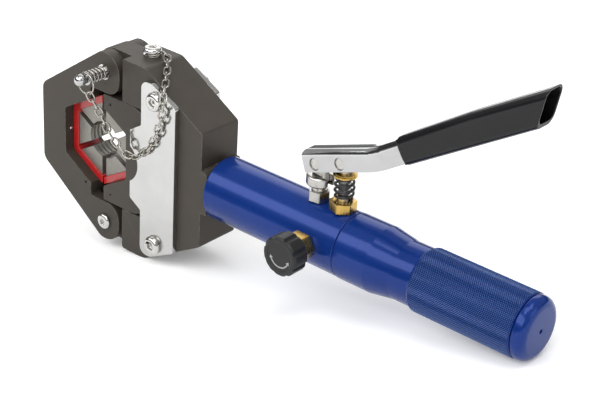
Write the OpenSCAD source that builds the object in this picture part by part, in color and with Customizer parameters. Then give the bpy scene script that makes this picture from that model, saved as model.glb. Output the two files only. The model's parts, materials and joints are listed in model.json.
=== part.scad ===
// Hand pumped hydraulic hose crimper with a swing open head.
// +X runs along the ram from the head to the handle, +Z is up, -Y is the pin side.
// The origin is the centre of the crimping die.

/* [Head] */
// Thickness of the head across the flats
head_t = 36; // [34:0.5:40]
// Distance from the die centre to the outer face of the jaw
jaw_left = 55; // [53:0.5:60]
// Height of both head pins above and below the die centre
pin_z = 59; // [58.5:0.5:62]
// Distance of both head pins behind the die centre
pin_x = 10; // [9:0.5:12]
// Radius of the rounded jaw ears round the pins
ear_r = 14.5; // [13:0.5:14.5]
// Thickness of one jaw ear
ear_t = 9; // [8:0.5:10]
// Gap on each side of a frame tongue in the jaw fork
tongue_gap = 0.3; // [0.2:0.05:0.5]
// Front face of the full frame behind the jaw ears
frame_front = 27.6; // [27.4:0.2:29]
// Rear face of the frame where the boss starts
frame_rear = 104; // [102:0.5:108]
// Half height of the frame
frame_half_h = 74; // [74:0.5:77]
// Half height of the straight rear face of the frame
frame_rear_half_h = 43; // [40:0.5:46]
// Where the sloping back of the frame begins
frame_shoulder_x = 50; // [46:0.5:54]
// Half height of the frame window
window_half_h = 42; // [42:0.2:43]
// Length of the boss behind the frame
boss_l = 5; // [4:0.5:6]
// Half height of the boss
boss_half_h = 16.5; // [15:0.5:18]
// Length of the threaded neck that carries the barrel
neck_l = 13; // [10:0.5:15]

/* [Die] */
// Distance from the die centre to a flat of the die shell
die_apothem = 30.95; // [30.5:0.05:31]
// Width of the die along the hose
die_w = 20; // [18:0.5:24]
// Wall of the painted die shell
shell_wall = 5; // [4:0.25:6]
// Radius of the crimping bore
bore_r = 14; // [11:0.5:16]
// Width of the slots between the die segments
slot_w = 4; // [3:0.25:5]
// Gap between the two die halves when the ram is forward
die_gap = 1.5; // [1.5:0.1:2.5]
// Play between the die shell and its pocket
pocket_play = 0.05; // [0.03:0.01:0.1]

/* [Ram] */
// Length of the ram block
ram_l = 49.5; // [46:0.5:50]
// Front face of the ram block behind the die centre
ram_front = 8.5; // [8:0.5:9.5]
// Play of the ram block in the frame window
ram_play = 0.2; // [0.15:0.05:0.3]
// Travel of the ram away from the jaw
ram_travel = 14; // [12:0.5:14]
// Radius of the piston rod
rod_r = 10; // [9:0.5:11]
// Length of the piston
piston_l = 20; // [18:0.5:22]

/* [Side plates] */
// Thickness of a side plate
plate_t = 4; // [3:0.25:5]
// Rear edge of a side plate
plate_rear = 82.5; // [80:0.5:84]
// Height of the plate screws above and below the centre
plate_screw_z = 55.4; // [54:0.2:57]
// Distance of the plate screws behind the die centre
plate_screw_x = 64; // [62:0.5:65]
// Diameter of a plate screw head
screw_head_d = 13.6; // [12:0.2:14]

/* [Barrel and handle] */
// Outer radius of the cylinder barrel
barrel_r = 22.5; // [22:0.1:23.5]
// Bore radius of the cylinder barrel
barrel_bore_r = 17.5; // [17:0.1:18]
// Rear end of the barrel
barrel_end = 222.5; // [221.5:0.5:224]
// Outer radius of the handle tube behind the barrel
handle_r = 22.9; // [22.5:0.1:23.4]
// Radius of the handle neck
neck_r = 20.1; // [19.6:0.1:20.6]
// Where the neck taper of the handle starts
taper_start = 248; // [244:1:250]
// Where the neck taper of the handle ends
taper_end = 264; // [260:1:268]
// Start of the knurled grip
knurl_start = 281.5; // [278:0.5:286]
// Radius of the knurled grip
grip_r = 21.3; // [20.8:0.1:22]
// Length of the knurled grip
knurl_l = 76; // [70:1:90]
// Length of the end cap outside the handle
cap_l = 8.9; // [7:0.1:12]
// Radius of the vent hole in the end cap
vent_r = 1.4; // [1:0.1:2]

/* [Pump] */
// Distance of the plunger behind the die centre
plunger_x = 212; // [211:0.5:213]
// Radius of the pump plunger
plunger_r = 4; // [3.5:0.1:4.5]
// Distance between the two lever pins
pin_gap = 21.3; // [20.5:0.1:22]
// Slope of the lever head at rest, in degrees
lever_slope = 20.3; // [18:0.1:22]
// Height of the fulcrum pin above the barrel axis
fulcrum_z = 50; // [49:0.5:51]
// Length of the fulcrum link between its two pins
link_l = 12.5; // [12:0.1:13]
// Radius of both lever pins
lever_pin_r = 4; // [3.5:0.1:4.5]
// Extra radius of the open pivot hole in the plunger eye
open_pivot_play = 0.45; // [0.4:0.05:0.5]
// Stroke of the plunger over the lever travel
plunger_stroke = 8.4; // [8.2:0.1:8.8]
// Height of the brass gland nut above the barrel axis
gland_top = 29.5; // [28.5:0.25:30]
// Width across the flats of the gland nut
gland_af = 16; // [15.5:0.5:17]

/* [Lever] */
// Outside width of the lever channel
lever_w = 15; // [14.5:0.25:16]
// Wall of the lever channel
lever_wall = 2.4; // [2.2:0.1:2.5]
// Height of the lever channel
lever_h = 15.3; // [15:0.1:15.6]
// Length of the straight part of the channel
arm_l = 110; // [100:1:118]
// Slope of the straight part of the lever at rest, in degrees
core_slope = 33.5; // [33:0.1:34]
// Distance from the fulcrum pin to the bend of the lever
bend_s = 52; // [50:0.5:54]
// Outside width of the dipped grip
grip_w = 18.4; // [18.4:0.1:19.4]
// Radius of the long edges of the grip
grip_edge = 5.5; // [5:0.1:5.8]
// Start of the grip behind the bend
grip_start = 24; // [22:0.5:27]
// End of the grip at its top edge
grip_end = 145.5; // [142:0.5:150]
// End of the grip at its lower edge
grip_foot_end = 124.5; // [121:0.5:128]

/* [Release valve] */
// Distance of the release valve behind the die centre
valve_x = 199; // [197.5:0.5:200.5]
// Diameter of the release knob
knob_d = 27.4; // [25:0.2:28]
// Width of the release knob along its axis
knob_w = 13; // [11:0.5:14]
// Number of grip lobes on the knob
knob_lobes = 8; // [7:1:10]
// Width across the flats of the brass valve bush
bush_af = 18; // [16:0.5:19]

/* [Lock pin and chain] */
// Radius of the lock pin
lock_r = 3.5; // [3:0.1:4]
// Distance from the head face to the centre of the lock pin ball
lock_out = 22.6; // [22.4:0.2:24]
// Radius of the ball on the lock pin
lock_ball_r = 4.3; // [4.2:0.1:5]
// Travel of the lock pin into the tongue
lock_in = 9; // [7:0.5:9]
// Centre radius of the split ring
ring_r = 7.6; // [7:0.1:8.5]
// Distance between neighbouring chain links
link_pitch = 6.07; // [5.8:0.1:6.2]
// Wire diameter of the chain and split ring
chain_wire = 1.25; // [1.1:0.05:1.3]
// Number of chain links that move with the jaw
lower_links = 8; // [6:1:10]

/* [Springs] */
// Wire diameter of the plunger spring
plunger_wire = 1.5; // [1.3:0.1:1.6]
// Turns of the plunger spring
plunger_turns = 4; // [3.5:0.5:4.5]
// Wire diameter of the lock pin spring
lock_wire = 1.2; // [1:0.1:1.4]
// Turns of the lock pin spring
lock_turns = 4.5; // [4:0.5:5]

/* [Hidden] */
$fn = 64;
// Running clearance of a pin or shaft in its hole, and of parts that only seat
fit = 0.05;
seat = 0.02;
half_t = head_t / 2;
inner_t = half_t - ear_t;
tongue_t = 2 * (inner_t - tongue_gap);
tongue_r = frame_half_h - pin_z;
slot_floor = pin_x - tongue_r - 0.6;
ear_inner = 43;
web_x = -4.5;
pocket_a = die_apothem + pocket_play;
ram_rear = ram_front + ram_l;
window_rear = ram_rear + ram_travel + 0.5;
boss_rear = frame_rear + boss_l;
neck_rear = boss_rear + neck_l;
neck_thread_r = 19;
spring_room = 16;
piston_front = neck_rear + spring_room;
piston_rear = piston_front + piston_l;
block_front = piston_rear + ram_travel + 4;
block_rear = barrel_end + 16;
knurl_end = knurl_start + knurl_l;
cap_end = knurl_end + cap_l;
fulcrum_x = plunger_x - pin_gap * cos(lever_slope);
plunger_pin_z = fulcrum_z + pin_gap * sin(lever_slope);
link_base_z = fulcrum_z - link_l;
spring_top = plunger_pin_z - 8.2;
steel_dark = [0.29, 0.28, 0.26];
blue = [0.10, 0.20, 0.55];
chrome = [0.80, 0.80, 0.79];
brass = [0.78, 0.62, 0.28];
red = [0.76, 0.09, 0.10];
bright_steel = [0.62, 0.61, 0.58];
rubber = [0.10, 0.10, 0.11];

// Unit vector of v
function unit(v) = v / norm(v);

// Points of the arc that rounds corner b between corners a and c with radius b[2]
function corner(a, b, c) =
    let (p = [b[0], b[1]], u = unit([a[0], a[1]] - p), v = unit([c[0], c[1]] - p),
         half = acos(max(-1, min(1, u * v))) / 2, r = b[2],
         centre = p + unit(u + v) * r / sin(half),
         s = p + u * r / tan(half) - centre, e = p + v * r / tan(half) - centre,
         a0 = atan2(s[1], s[0]), turn = atan2(s[0] * e[1] - s[1] * e[0], s * e),
         n = max(2, ceil(abs(turn) / 11)))
    [for (i = [0:n]) centre + r * [cos(a0 + turn * i / n), sin(a0 + turn * i / n)]];

// Closed outline with a rounded corner at each [x, z, radius] of pts
function rounded(pts) = let (n = len(pts)) [for (i = [0:n - 1])
    each (pts[i][2] == 0 ? [[pts[i][0], pts[i][1]]]
        : corner(pts[(i + n - 1) % n], pts[i], pts[(i + 1) % n]))];

// Outline mirrored about z = 0, for pts given from the bottom centre to the right
function both_halves(pts) = concat(pts,
    [for (i = [len(pts) - 1:-1:0]) [pts[i][0], -pts[i][1], pts[i][2]]]);

// Slab with an outline in the XZ plane, from y0 to y1
module slab(pts, y0, y1) {
    translate([0, y1, 0]) rotate([90, 0, 0]) linear_extrude(y1 - y0) polygon(pts);
}

// Round bar along X, Y or Z
module bar_x(x0, x1, r) {
    translate([x0, 0, 0]) rotate([0, 90, 0]) cylinder(h = x1 - x0, r = r);
}
module bar_y(y0, y1, r, x, z) {
    translate([x, y0, z]) rotate([-90, 0, 0]) cylinder(h = y1 - y0, r = r);
}
module bar_z(z0, z1, r, x) {
    translate([x, 0, z0]) cylinder(h = z1 - z0, r = r);
}

// Turned part about the X axis, from [radius, x] points
module turned(pts) {
    rotate([0, 90, 0]) rotate_extrude() polygon(pts);
}

// Rectangular block between two corners
module block(a, b) {
    translate(a) cube(b - a);
}

// Button head with a hexagon recess, its flat on z = 0 and its dome towards +Z
module button_head(d, h, recess_af) {
    difference() {
        rotate_extrude() polygon(concat([[0, 0], [d / 2, 0], [d / 2, h * 0.25]],
            [for (i = [1:5]) [d / 2 * cos(i * 11) + (d / 2) * (1 - cos(i * 11)) * 0.1,
                h * 0.25 + h * 0.75 * sin(i * 18)]], [[0, h]]));
        translate([0, 0, h * 0.35])
            cylinder(h = h, r = recess_af / 2 / cos(30), $fn = 6);
    }
}

// Unbroken coil tube about Z, its mean radius given at the ends and the middle
function coil_point(r_end, r_mid, z0, z1, turns, t) =
    let (r = r_end + (r_mid - r_end) * sin(180 * t), a = 360 * turns * t)
    [r * cos(a), r * sin(a), z0 + (z1 - z0) * t];
module coil(r_end, r_mid, z0, z1, turns, wire, name) {
    sides = 6;
    steps = round(turns * 8);
    zc0 = z0 + wire / 2;
    zc1 = z1 - wire / 2;
    pts = [for (i = [0:steps]) coil_point(r_end, r_mid, zc0, zc1, turns, i / steps)];
    rings = [for (i = [0:steps]) let (a = 360 * turns * i / steps, out = [cos(a), sin(a), 0],
            up = [0, 0, 1]) for (k = [0:sides - 1])
            pts[i] + wire / 2 * (out * cos(360 * k / sides) + up * sin(360 * k / sides))];
    gap = min([for (i = [0:steps - 7]) for (j = [i + 7:min(steps, i + 9)]) norm(pts[i] - pts[j])]) - wire;
    echo(coil = name, least_gap = gap);
    polyhedron(rings, concat(
        [[for (k = [sides - 1:-1:0]) k]],
        [for (i = [0:steps - 1]) for (k = [0:sides - 1]) [i * sides + k, i * sides + (k + 1) % sides,
            (i + 1) * sides + (k + 1) % sides, (i + 1) * sides + k]],
        [[for (k = [0:sides - 1]) steps * sides + k]]), convexity = 10);
}

// Outline of the jaw, a C with the front half of the die pocket
function jaw_corners() = let (upper = [[web_x, ear_inner, 1.5], [pin_x + ear_r, ear_inner, 11.8],
        [pin_x + ear_r, pin_z + ear_r, ear_r - 0.1], [pin_x - 4, pin_z + ear_r, 9],
        [-jaw_left, 30, 8]],
        pocket = [[-pocket_a, pocket_a * tan(30), 2.5], [web_x, (pocket_a / sin(60)) + web_x * tan(30), 0.8]])
    concat(pocket, upper, [for (i = [len(upper) - 1:-1:0]) [upper[i][0], -upper[i][1], upper[i][2]]],
        [for (i = [1:-1:0]) [pocket[i][0], -pocket[i][1], pocket[i][2]]]);
jaw_outline = rounded(jaw_corners());

module swing_jaw() {
    color(steel_dark) difference() {
        slab(jaw_outline, -half_t, half_t);
        for (m = [0, 1]) mirror([0, 0, m])
            block([slot_floor, -inner_t, ear_inner - 3], [40, inner_t, frame_half_h + 10]);
        bar_y(-half_t - 1, half_t + 1, hinge_r + seat, pin_x, -pin_z);
        bar_y(-half_t - 1, half_t + 1, lock_r + fit, pin_x, pin_z);
        for (s = [-1, 1]) translate([0, s * detent_y, 0])
            bar_x(-pocket_a - detent_l, -pocket_a + 1, detent_r + seat);
        for (s = [-1, 1]) bar_y(-half_t - 1, -half_t + 3, 0.9, -10, s * 34.5);
    }
}

// Hinge pin with a button head at each end
hinge_r = 5;
hinge_head_h = 2.6;
hinge_thread_r = 2.5;
module hinge_pin() {
    color(chrome) {
        difference() {
            bar_y(-half_t, half_t, hinge_r, pin_x, -pin_z);
            bar_y(half_t - 9, half_t + 1, hinge_thread_r + seat, pin_x, -pin_z);
        }
        translate([pin_x, -half_t, -pin_z]) rotate([90, 0, 0]) button_head(11.8, hinge_head_h, 4);
    }
}
module hinge_pin_screw() {
    color(chrome) {
        bar_y(half_t - 8, half_t + 0.1, hinge_thread_r, pin_x, -pin_z);
        translate([pin_x, half_t, -pin_z]) rotate([-90, 0, 0]) button_head(11.8, hinge_head_h, 4);
    }
}

// One half of the painted die shell, side -1 towards the jaw and 1 towards the ram
module die_shell(side) {
    inner_a = die_apothem - shell_wall;
    cut = die_gap / 2;
    color(red) mirror([side > 0 ? 1 : 0, 0, 0])
        slab(rounded([[-cut, -die_apothem / cos(30) + cut * tan(30), 0.6],
            [-cut, -inner_a / cos(30) + cut * tan(30), 0.4],
            [-inner_a, -inner_a * tan(30), 2], [-inner_a, inner_a * tan(30), 2],
            [-cut, inner_a / cos(30) - cut * tan(30), 0.4],
            [-cut, die_apothem / cos(30) - cut * tan(30), 0.6],
            [-die_apothem, die_apothem * tan(30), 4], [-die_apothem, -die_apothem * tan(30), 4]]),
            -die_w / 2, die_w / 2);
}

// Three steel segments of one die half
segment_inset = 1;
groove_depth = 0.9;
groove_w = 1.6;
module die_segments(side) {
    outer = die_apothem - shell_wall - seat;
    inner = bore_r - 3;
    w = slot_w / 2 / cos(30);
    yw = die_w / 2 - segment_inset;
    color(bright_steel) difference() {
        for (a = [-60, 0, 60]) rotate([0, side > 0 ? a : a + 180, 0])
            slab([[inner, -inner * tan(30) + w], [outer, -outer * tan(30) + w],
                [outer, outer * tan(30) - w], [inner, inner * tan(30) - w]], -yw, yw);
        bar_y(-die_w, die_w, bore_r, 0, 0);
        for (y = [-5.4, -1.8, 1.8, 5.4])
            bar_y(y - groove_w / 2, y + groove_w / 2, bore_r + groove_depth, 0, 0);
    }
}
module front_die_shell() { die_shell(-1); }
module rear_die_shell() { die_shell(1); }
module front_die_segments() { die_segments(-1); }
module rear_die_segments() { die_segments(1); }

// Spring plungers that hold a die half in its pocket
detent_r = 1.5;
detent_l = 6;
detent_y = die_w / 2 + 2.3;
detent_out = 0.8;
module detents(side) {
    color(chrome) mirror([side > 0 ? 1 : 0, 0, 0]) for (s = [-1, 1])
        translate([0, s * detent_y, 0]) turned([[0, -pocket_a - detent_l + 0.1],
            [detent_r, -pocket_a - detent_l + 0.1], [detent_r, -pocket_a + detent_out - detent_r],
            [detent_r * cos(30), -pocket_a + detent_out - detent_r * (1 - sin(30))],
            [detent_r * cos(60), -pocket_a + detent_out - detent_r * (1 - sin(60))],
            [0, -pocket_a + detent_out]]);
}
module jaw_detents() { detents(-1); }
module ram_detents() { detents(1); }

// Lock pin, drawn back so that its nose ends in the near ear
washer_t = 1.2;
lock_collar_y = -half_t - washer_t - lock_in - 6.4;
lock_collar_t = 1.2;
module lock_pin() {
    nose = -inner_t - tongue_gap;
    translate([pin_x, 0, pin_z]) rotate([0, 0, 90]) color(chrome) {
        turned([[0, -half_t - lock_out], [lock_r, -half_t - lock_out],
            [lock_r, nose - 1.2], [lock_r - 1.2, nose],
            [0, nose]]);
        difference() {
            bar_x(lock_collar_y - lock_collar_t, lock_collar_y, 5);
            bar_x(lock_collar_y - lock_collar_t - 1, lock_collar_y + 1, lock_r - 0.3);
        }
    }
}
module lock_ball() {
    rim = acos((lock_r + 0.3) / lock_ball_r);
    color(chrome) translate([pin_x, -half_t - lock_out, pin_z]) rotate([0, 0, 90])
        turned(concat([[0, -0.4], [lock_r + seat, -0.4], [lock_r + seat, lock_ball_r * sin(rim)]],
            [for (i = [0:13]) let (a = rim - (rim + 75) * i / 13) lock_ball_r * [cos(a), sin(a)]],
            [[0, -lock_ball_r]]));
}
module lock_washer() {
    color(chrome) difference() {
        bar_y(-half_t - washer_t, -half_t, 5.6, pin_x, pin_z);
        bar_y(-half_t - washer_t - 1, -half_t + 1, lock_r + fit, pin_x, pin_z);
    }
}
module lock_spring() {
    color(chrome) translate([pin_x, 0, pin_z]) rotate([-90, 0, 0])
        coil(4.7, 4.5, lock_collar_y, -half_t - washer_t, lock_turns, lock_wire, "lock_spring");
}

// Split ring that hangs from the lock pin between its collar and its ball
ring_y = lock_collar_y - lock_collar_t - 1.2;
ring_hang = ring_r - lock_r - chain_wire / 2 - 0.1;
module split_ring() {
    color(chrome) translate([pin_x + ring_hang * sin(30), ring_y, pin_z - ring_hang * cos(30)])
        rotate([90, 0, 0]) rotate_extrude() translate([ring_r, 0]) circle(r = chain_wire / 2, $fn = 20);
}

// Route of the chain from its screw over the frame edge and back up to the split ring
chain_route = [[44.4, 4.4, 77.4], [47.6, 3.8, 78.2], [51, 2, 77.4], [54.6, -1.4, 75.6], [58.6, -5.8, 73.2],
    [62.6, -10.4, 70.8], [67, -15.8, 68.2], [70.8, -21, 65.4], [73.6, -24.6, 60.8], [74.2, -25.4, 55],
    [73.2, -25.2, 48.5], [71, -25, 41.6], [68.8, -25, 35.2], [66.1, -25, 29.3], [63.4, -25.1, 24],
    [59.4, -25.4, 18.2], [55.2, -26, 14], [51.4, -26.5, 10.8], [45.7, -27, 9], [40.6, -28, 10.2],
    [35, -29.4, 15.1], [30.2, -30.6, 19.8], [26.5, -31.6, 25.6], [23.6, -32.4, 31.6], [20.6, -33.4, 37.6],
    [17.2, -34.8, 42.6], [14.9, -37, 49.2], [14.3, -37.6, 51]];
function route_lengths(p, i = 0, s = 0) = i == len(p) - 1 ? [s]
    : concat([s], route_lengths(p, i + 1, s + norm(p[i + 1] - p[i])));
chain_lengths = route_lengths(chain_route);
chain_total = chain_lengths[len(chain_lengths) - 1];
function chain_at(s) = let (k = max([for (i = [0:len(chain_route) - 2]) chain_lengths[i] <= s ? i : 0]),
    t = (s - chain_lengths[k]) / (chain_lengths[k + 1] - chain_lengths[k]))
    chain_route[k] + t * (chain_route[k + 1] - chain_route[k]);
chain_count = floor(chain_total / link_pitch);
link_half_l = (link_pitch + chain_wire + 0.15) / 2;
link_half_w = 2.3;

// One oval link, centred on c, along direction d, its flat side across n
module chain_link(c, d, n) {
    side = unit(cross(d, n));
    flat = cross(side, d);
    steps = 12;
    sides = 5;
    run = link_half_l - link_half_w;
    axis_pts = [for (i = [0:steps - 1]) let (a = 360 * i / steps + 15)
        [link_half_w * cos(a) + run * sign(cos(a)), link_half_w * sin(a), a]];
    rings = [for (p = axis_pts) let (out = d * cos(p[2]) + side * sin(p[2]))
        for (k = [0:sides - 1]) c + d * p[0] + side * p[1]
            + chain_wire / 2 * (out * cos(360 * k / sides) + flat * sin(360 * k / sides))];
    polyhedron(rings, [for (i = [0:steps - 1]) for (k = [0:sides - 1])
        [i * sides + k, ((i + 1) % steps) * sides + k,
         ((i + 1) % steps) * sides + (k + 1) % sides, i * sides + (k + 1) % sides]],
        convexity = 4);
}
module chain_links(first, last) {
    color(chrome) for (i = [first:last]) {
        s = (i + 0.5) * link_pitch;
        a = chain_at(s - link_pitch / 2);
        b = chain_at(min(s + link_pitch / 2, chain_total - 0.01));
        d = unit(b - a);
        side = unit(cross(d, [0, -1, 0.2]));
        tilt = i % 2 == 0 ? 45 : -45;
        chain_link((a + b) / 2, d, unit(side * sin(tilt) + cross(side, d) * cos(tilt)));
    }
}
module chain_upper() {
    chain_links(0, chain_count - lower_links - 1);
    color(chrome) translate([chain_screw_x + 1.2, chain_screw_y + 0.6, frame_half_h + washer_t + chain_wire / 2 + 0.1])
        rotate_extrude() translate([4.8, 0]) circle(r = chain_wire / 2, $fn = 20);
}
module chain_lower() { chain_links(chain_count - lower_links, chain_count - 1); }

// Screw and washer that hold the chain on top of the frame
chain_screw_x = 36.5;
chain_screw_y = 2;
chain_screw_r = 2.5;
module chain_screw() {
    under = frame_half_h + washer_t + chain_wire + 0.3;
    color(chrome) {
        translate([0, chain_screw_y, 0]) bar_z(frame_half_h - 8, under + 0.1, chain_screw_r, chain_screw_x);
        translate([chain_screw_x, chain_screw_y, under]) button_head(13.2, 3.8, 4);
    }
}
module chain_washer() {
    color(chrome) translate([0, chain_screw_y, 0]) difference() {
        bar_z(frame_half_h, frame_half_h + washer_t, 6.2, chain_screw_x);
        bar_z(frame_half_h - 1, frame_half_h + washer_t + 1, chain_screw_r + fit, chain_screw_x);
    }
}

// Main frame: a C that opens towards the jaw, with a tongue above and below
frame_outline = rounded([[frame_front, -frame_half_h, 2.5], [frame_shoulder_x, -frame_half_h, 8],
    [frame_rear, -frame_rear_half_h, 3], [frame_rear, frame_rear_half_h, 3],
    [frame_shoulder_x, frame_half_h, 8], [frame_front, frame_half_h, 1],
    [frame_front, window_half_h, 1], [window_rear, window_half_h, 4],
    [window_rear, -window_half_h, 4], [frame_front, -window_half_h, 1]]);
tongue_outline = rounded([[pin_x - tongue_r, pin_z - tongue_r, tongue_r - 0.1],
    [frame_front + 4, pin_z - tongue_r, 0], [frame_front + 4, frame_half_h, 0],
    [pin_x - tongue_r, frame_half_h, tongue_r - 0.1]]);
plate_screw_r = 4;
plate_screw_depth = 12;
module head_frame() {
    color(steel_dark) difference() {
        union() {
            slab(frame_outline, -half_t, half_t);
            for (m = [0, 1]) mirror([0, 0, m]) slab(tongue_outline, -tongue_t / 2, tongue_t / 2);
            slab([[frame_rear - 4, -boss_half_h], [boss_rear, -boss_half_h],
                [boss_rear, boss_half_h - 3], [boss_rear - 3, boss_half_h],
                [frame_rear - 4, boss_half_h]], -half_t, half_t);
            bar_x(boss_rear - 2, neck_rear, neck_thread_r - 2);
            bar_x(boss_rear, neck_rear, neck_thread_r);
        }
        bar_y(-half_t, half_t, hinge_r + fit, pin_x, -pin_z);
        bar_y(-half_t, half_t, lock_r + 0.1, pin_x, pin_z);
        bar_x(window_rear - 1, neck_rear + 1, rod_r + 3);
        for (s = [-1, 1]) for (y = [-1, 1])
            bar_y(y > 0 ? half_t - plate_screw_depth : -half_t - 1,
                y > 0 ? half_t + 1 : -half_t + plate_screw_depth,
                plate_screw_r + seat, plate_screw_x, s * plate_screw_z);
        translate([0, chain_screw_y, 0])
            bar_z(frame_half_h - 9, frame_half_h + 1, chain_screw_r + seat, chain_screw_x);
    }
}

// Bronze bush that guides the piston rod through the frame and the neck
module rod_bush() {
    color(brass) difference() {
        bar_x(window_rear, neck_rear, rod_r + 3 - seat);
        bar_x(window_rear - 1, neck_rear + 1, rod_r + fit);
    }
}

// Side plate outline with the round clearance for the hose
plate_left = 50;
hose_notch_r = 16;
hose_notch_x = 31;
plate_half = [[39.5, 26.5, 2], [plate_left, 33, 2], [plate_left, 67, 6], [60, 67, 3],
    [plate_rear, 55.5, 3]];
module side_plate(side) {
    outline = rounded(concat([[39.5, 0, 0]], plate_half,
        [for (i = [len(plate_half) - 1:-1:0]) [plate_half[i][0], -plate_half[i][1], plate_half[i][2]]]));
    y0 = side < 0 ? -half_t - plate_t : half_t;
    color(chrome) difference() {
        slab(outline, y0, y0 + plate_t);
        bar_y(y0 - 1, y0 + plate_t + 1, hose_notch_r, hose_notch_x, 0);
        for (s = [-1, 1]) bar_y(y0 - 1, y0 + plate_t + 1, plate_screw_r + fit,
            plate_screw_x, s * plate_screw_z);
    }
}
module side_plate_near() { side_plate(-1); }
module side_plate_far() { side_plate(1); }
module plate_screws() {
    face = half_t + plate_t;
    color(chrome) for (z = [-plate_screw_z, plate_screw_z]) for (m = [0, 1]) mirror([0, m, 0]) {
        bar_y(-face - 0.1, -half_t + plate_screw_depth - 1, plate_screw_r, plate_screw_x, z);
        translate([plate_screw_x, -face, z]) rotate([90, 0, 0]) button_head(screw_head_d, 4.2, 5);
    }
}

// Ram block with the rear half of the die pocket
ram_half_h = window_half_h - ram_play;
rod_socket = 10;
ram_outline = rounded([[ram_front, -ram_half_h, 1], [40, -ram_half_h, 14], [ram_rear, -33, 2],
    [ram_rear, 33, 2], [40, ram_half_h, 14], [ram_front, ram_half_h, 1],
    [ram_front, pocket_a / cos(30) - ram_front * tan(30), 0.8], [pocket_a, pocket_a * tan(30), 2.5],
    [pocket_a, -pocket_a * tan(30), 2.5], [ram_front, -pocket_a / cos(30) + ram_front * tan(30), 0.8]]);
module ram_block() {
    color(steel_dark) difference() {
        slab(ram_outline, -half_t + 0.1, half_t - 0.1);
        bar_x(ram_rear - rod_socket, ram_rear + 1, rod_r - 2 + seat);
        for (s = [-1, 1]) translate([0, s * detent_y, 0])
            bar_x(pocket_a - 1, pocket_a + detent_l, detent_r + seat);
        for (s = [-1, 1]) bar_y(-half_t - 1, -half_t + 3, 0.9, 15.5, s * 35.5);
    }
}
rod_thread_r = 6;
module piston_rod() {
    color(bright_steel) {
        bar_x(ram_rear - rod_socket + 0.2, ram_rear + 1, rod_r - 2);
        bar_x(ram_rear, piston_front, rod_r);
        bar_x(piston_front - 1, piston_rear + 3, rod_thread_r);
    }
}
module piston() {
    color(bright_steel) difference() {
        bar_x(piston_front, piston_rear, barrel_bore_r - fit);
        bar_x(piston_front - 1, piston_rear + 1, rod_thread_r + seat);
        bar_x(piston_rear - 5, piston_rear + 1, nut_r + 1);
        difference() {
            bar_x(piston_front + 8, piston_front + 12, barrel_bore_r + 1);
            bar_x(piston_front + 7, piston_front + 13, barrel_bore_r - 2.5);
        }
    }
}
module piston_seal() {
    color(rubber) difference() {
        bar_x(piston_front + 8.05, piston_front + 11.95, barrel_bore_r - fit);
        bar_x(piston_front + 7, piston_front + 13, barrel_bore_r - 2.5 + seat);
    }
}
nut_r = 9.5;
module piston_nut() {
    color(bright_steel) difference() {
        translate([piston_rear - 5, 0, 0]) rotate([0, 90, 0]) cylinder(h = 7, r = nut_r, $fn = 6);
        bar_x(piston_rear - 6, piston_rear + 3, rod_thread_r + seat);
    }
}
module return_spring() {
    color(bright_steel) rotate([0, 90, 0])
        coil(13.9, 13.9, neck_rear, piston_front, 4, 2.4, "return_spring");
}

// Cylinder barrel with its holes for the pump and release fittings
barrel_front = boss_rear;
post_r = 5.2;
gland_thread_r = 6.5;
bush_thread_r = 7;
block_r = barrel_bore_r - seat;
module side_fitting_holes(extra) {
    bar_z(8, 60, post_r + extra, fulcrum_x);
    bar_z(8, 60, gland_thread_r + extra, plunger_x);
    bar_y(-60, -8, bush_thread_r + extra, valve_x, 0);
}
module cylinder_barrel() {
    color(blue) difference() {
        turned([[barrel_bore_r, barrel_front], [barrel_r - 1.5, barrel_front],
            [barrel_r, barrel_front + 1.5], [barrel_r, barrel_end - 0.4],
            [barrel_r - 0.4, barrel_end], [barrel_bore_r, barrel_end]]);
        bar_x(barrel_front - 1, neck_rear + seat, neck_thread_r + seat);
        side_fitting_holes(seat);
    }
}
module barrel_seal() {
    color(rubber) difference() {
        bar_x(neck_rear + seat, neck_rear + 2, barrel_bore_r - seat);
        bar_x(neck_rear - 1, neck_rear + 3, barrel_bore_r - 1.2);
    }
}

// Pump block inside the barrel and the front of the handle
seal_w = 3;
ball_r = 2.5;
module pump_block() {
    color(bright_steel) difference() {
        bar_x(block_front, block_rear, block_r);
        side_fitting_holes(seat);
        bar_z(plunger_foot - plunger_stroke - 3, 20, plunger_r + fit, plunger_x);
        bar_x(block_front - 1, valve_x - 2, 1.5);
        bar_y(-10, 1, 3, valve_x, 0);
        bar_x(plunger_x - 1, block_rear + 1, 1.5);
        for (x = [block_front + 4, block_rear - 7]) difference() {
            bar_x(x, x + seal_w, block_r + 1);
            bar_x(x - 1, x + seal_w + 1, block_r - 2);
        }
        for (x = [block_front - 1, block_rear - 5]) bar_x(x, x + 6, ball_r + fit);
    }
}
module block_seals() {
    color(rubber) for (x = [block_front + 4, block_rear - 7]) difference() {
        bar_x(x + 0.05, x + seal_w - 0.05, block_r - seat);
        bar_x(x - 1, x + seal_w + 1, block_r - 2 + seat);
    }
}
module check_balls() {
    color(chrome) for (x = [block_front + 5 - ball_r - 0.1, block_rear - ball_r - 0.1])
        translate([x, 0, 0]) sphere(r = ball_r, $fn = 32);
}

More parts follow.
